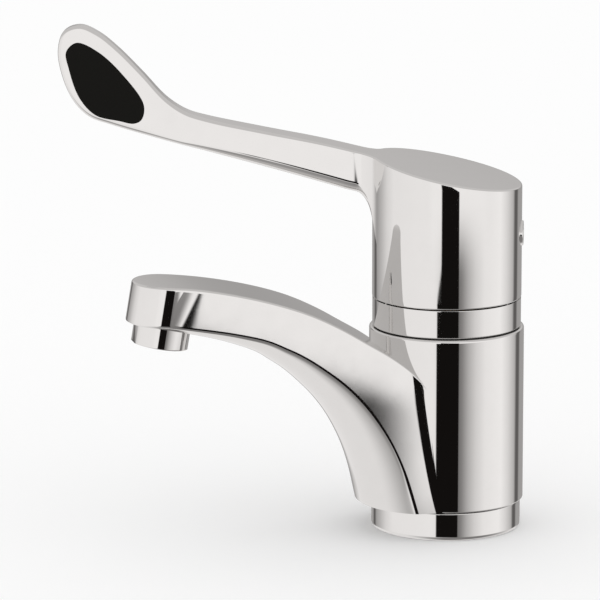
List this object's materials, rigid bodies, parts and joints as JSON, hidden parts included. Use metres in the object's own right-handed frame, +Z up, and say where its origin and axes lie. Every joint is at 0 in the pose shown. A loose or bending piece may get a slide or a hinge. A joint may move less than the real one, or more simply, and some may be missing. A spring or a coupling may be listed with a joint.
{
  "type": "elbow lever tap",
  "caption": "Polished deck-mounted basin mixer: swivelling curved spout with a screened aerator, and a long upswept elbow lever with a dark grip pad over a ceramic disc cartridge",
  "frame": {"origin": "middle of the foot ring's underside, at the mouth of the threaded hole for the fixing stud", "axes": "+Z up along the tap's axis; -Y is the front, where the lever points at rest"},
  "size_m": [0.0696, 0.1558, 0.1683],
  "materials": {
    "chrome": "polished",
    "brass": "machined",
    "steel": "satin",
    "rubber": "matt",
    "bearing_plastic": "matt",
    "dark_plastic": "matt",
    "cartridge_plastic": "satin",
    "ceramic": "lapped",
    "grip_black": "matt"
  },
  "bodies": {
    "base": {"base_ring": "chrome", "base_seal": "rubber", "valve_body": "brass", "lower_bearing_ring": "bearing_plastic", "upper_bearing_ring": "bearing_plastic", "spout_seals": "rubber", "lower_slip_washer": "dark_plastic", "upper_slip_washer": "dark_plastic", "swivel_stop_pin": "steel", "collar_ring": "chrome", "cartridge_base": "cartridge_plastic", "port_seals": "rubber", "cartridge_housing": "cartridge_plastic", "cartridge_nut": "brass", "fixed_disc": "ceramic"},
    "spout": {"spout": "chrome", "aerator_housing": "chrome", "aerator_screen": "steel", "aerator_insert": "bearing_plastic", "aerator_seal": "rubber"},
    "turret": {"turret": "cartridge_plastic", "pivot_pin": "steel"},
    "handle": {"stem": "steel", "lever_handle": "chrome", "stem_bush": "dark_plastic", "grub_screw": "steel", "screw_cover": "chrome", "grip_pad": "grip_black"},
    "carriage": {"moving_disc": "ceramic", "disc_carrier": "dark_plastic"}
  },
  "joints": [
    {"name": "spout_swivel", "type": "hinge", "parent": "base", "child": "spout", "pos_m": [0, 0, 0], "axis": [0, 0, 1], "range_deg": [-73.75, 36.25]},
    {"name": "temperature_turn", "type": "hinge", "parent": "base", "child": "turret", "pos_m": [0, 0, 0.091], "axis": [0, 0, 1], "range_deg": [-45, 45]},
    {"name": "flow_lift", "type": "hinge", "parent": "turret", "child": "handle", "pos_m": [0, 0, 0.091], "axis": [-1, 0, 0], "range_deg": [0, 20]},
    {"name": "disc_slide", "type": "slide", "parent": "turret", "child": "carriage", "axis": [0, -1, 0], "range_m": [0, 0.00525]}
  ],
  "couplings": [
    {"joint": "disc_slide", "follows": "flow_lift", "m_per_rad": 0.015}
  ]
}
